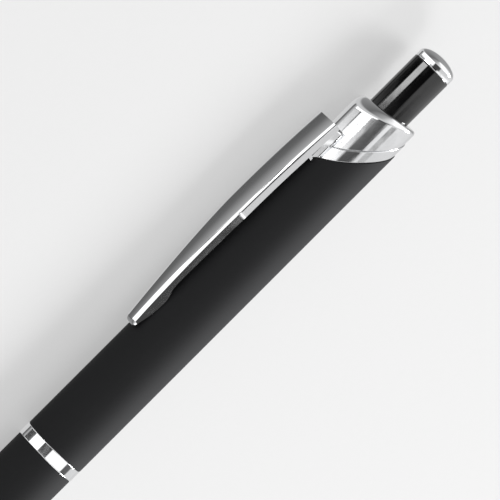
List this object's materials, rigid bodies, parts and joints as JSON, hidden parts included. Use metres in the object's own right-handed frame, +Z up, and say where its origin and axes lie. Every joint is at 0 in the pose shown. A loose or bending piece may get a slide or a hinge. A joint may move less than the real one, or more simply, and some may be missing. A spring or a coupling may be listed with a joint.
{
  "type": "retractable ballpoint pen",
  "caption": "Retractable ballpoint pen with a push button, a pressed metal clip, a slanted collar and two barrels screwed together at a centre band.",
  "frame": {"origin": "centre of the bounding box at bench level, with the pen lying on its barrel and on one edge of its clip", "axes": "+X along the pen towards the writing end, +Z up, the clip on the -Y side and below the level of the pen's axis"},
  "size_m": [0.141, 0.0134, 0.0105],
  "materials": {
    "soft_touch": "soft-touch coating, fine satin",
    "chrome": "bright plating",
    "gloss_black": "polished",
    "white_plastic": "moulded",
    "grey_plastic": "moulded",
    "refill_steel": "drawn tube",
    "point_brass": "turned",
    "spring_steel": "drawn wire",
    "ball_carbide": "ground",
    "ink": "paste"
  },
  "bodies": {
    "upper_half": {"upper_barrel": "soft_touch", "threaded_insert": "grey_plastic", "clip_collar": "chrome", "top_housing": "chrome", "cam_sleeve": "white_plastic", "guide_bush": "grey_plastic"},
    "clip": {"clip": "chrome"},
    "button": {"plunger_sleeve": "gloss_black", "plunger_cap": "chrome", "plunger_cam": "white_plastic"},
    "refill": {"refill_tube": "refill_steel", "refill_crown": "grey_plastic", "refill_point": "point_brass", "refill_ball": "ball_carbide", "ink_column": "ink", "refill_spring": "spring_steel"},
    "rotor": {"rotor_cam": "grey_plastic"},
    "band": {"centre_band": "chrome"},
    "lower_half": {"lower_barrel": "soft_touch", "threaded_connector": "grey_plastic", "nose_cone": "chrome"}
  },
  "joints": [
    {"name": "button_press", "type": "slide", "parent": "upper_half", "child": "button", "axis": [1, 0, 0], "range_m": [0, 0.0065], "stiffness_N_per_m": 150, "springref_m": -0.006},
    {"name": "refill_slide", "type": "slide", "parent": "upper_half", "child": "refill", "axis": [1, 0, 0], "range_m": [0, 0.0065], "deforming": ["refill_spring"]},
    {"name": "rotor_index", "type": "hinge", "parent": "refill", "child": "rotor", "pos_m": [-0.0325, 0.00148, 0.00525], "axis": [-1, 0, 0], "range_deg": [0, 22.6]},
    {"name": "clip_flex", "type": "hinge", "parent": "upper_half", "child": "clip", "pos_m": [-0.0504, -0.00345, 0.0036], "axis": [0, 0.318, -0.9481], "range_deg": [0, 5], "stiffness_Nm_per_rad": 1.8, "springref_deg": -1.72},
    {"name": "band_travel", "type": "slide", "parent": "upper_half", "child": "band", "axis": [1, 0, 0], "range_m": [0, 0.00751]},
    {"name": "barrel_unscrew", "type": "hinge", "parent": "band", "child": "lower_half", "pos_m": [0.0205, 0.00148, 0.00525], "axis": [1, 0, 0], "range_deg": [0, 2700]}
  ],
  "couplings": [
    {"joint": "refill_slide", "follows": "button_press", "ratio": 1},
    {"joint": "rotor_index", "follows": "button_press", "rad_per_m": 60.415},
    {"joint": "band_travel", "follows": "barrel_unscrew", "m_per_rad": 0.00015915}
  ]
}
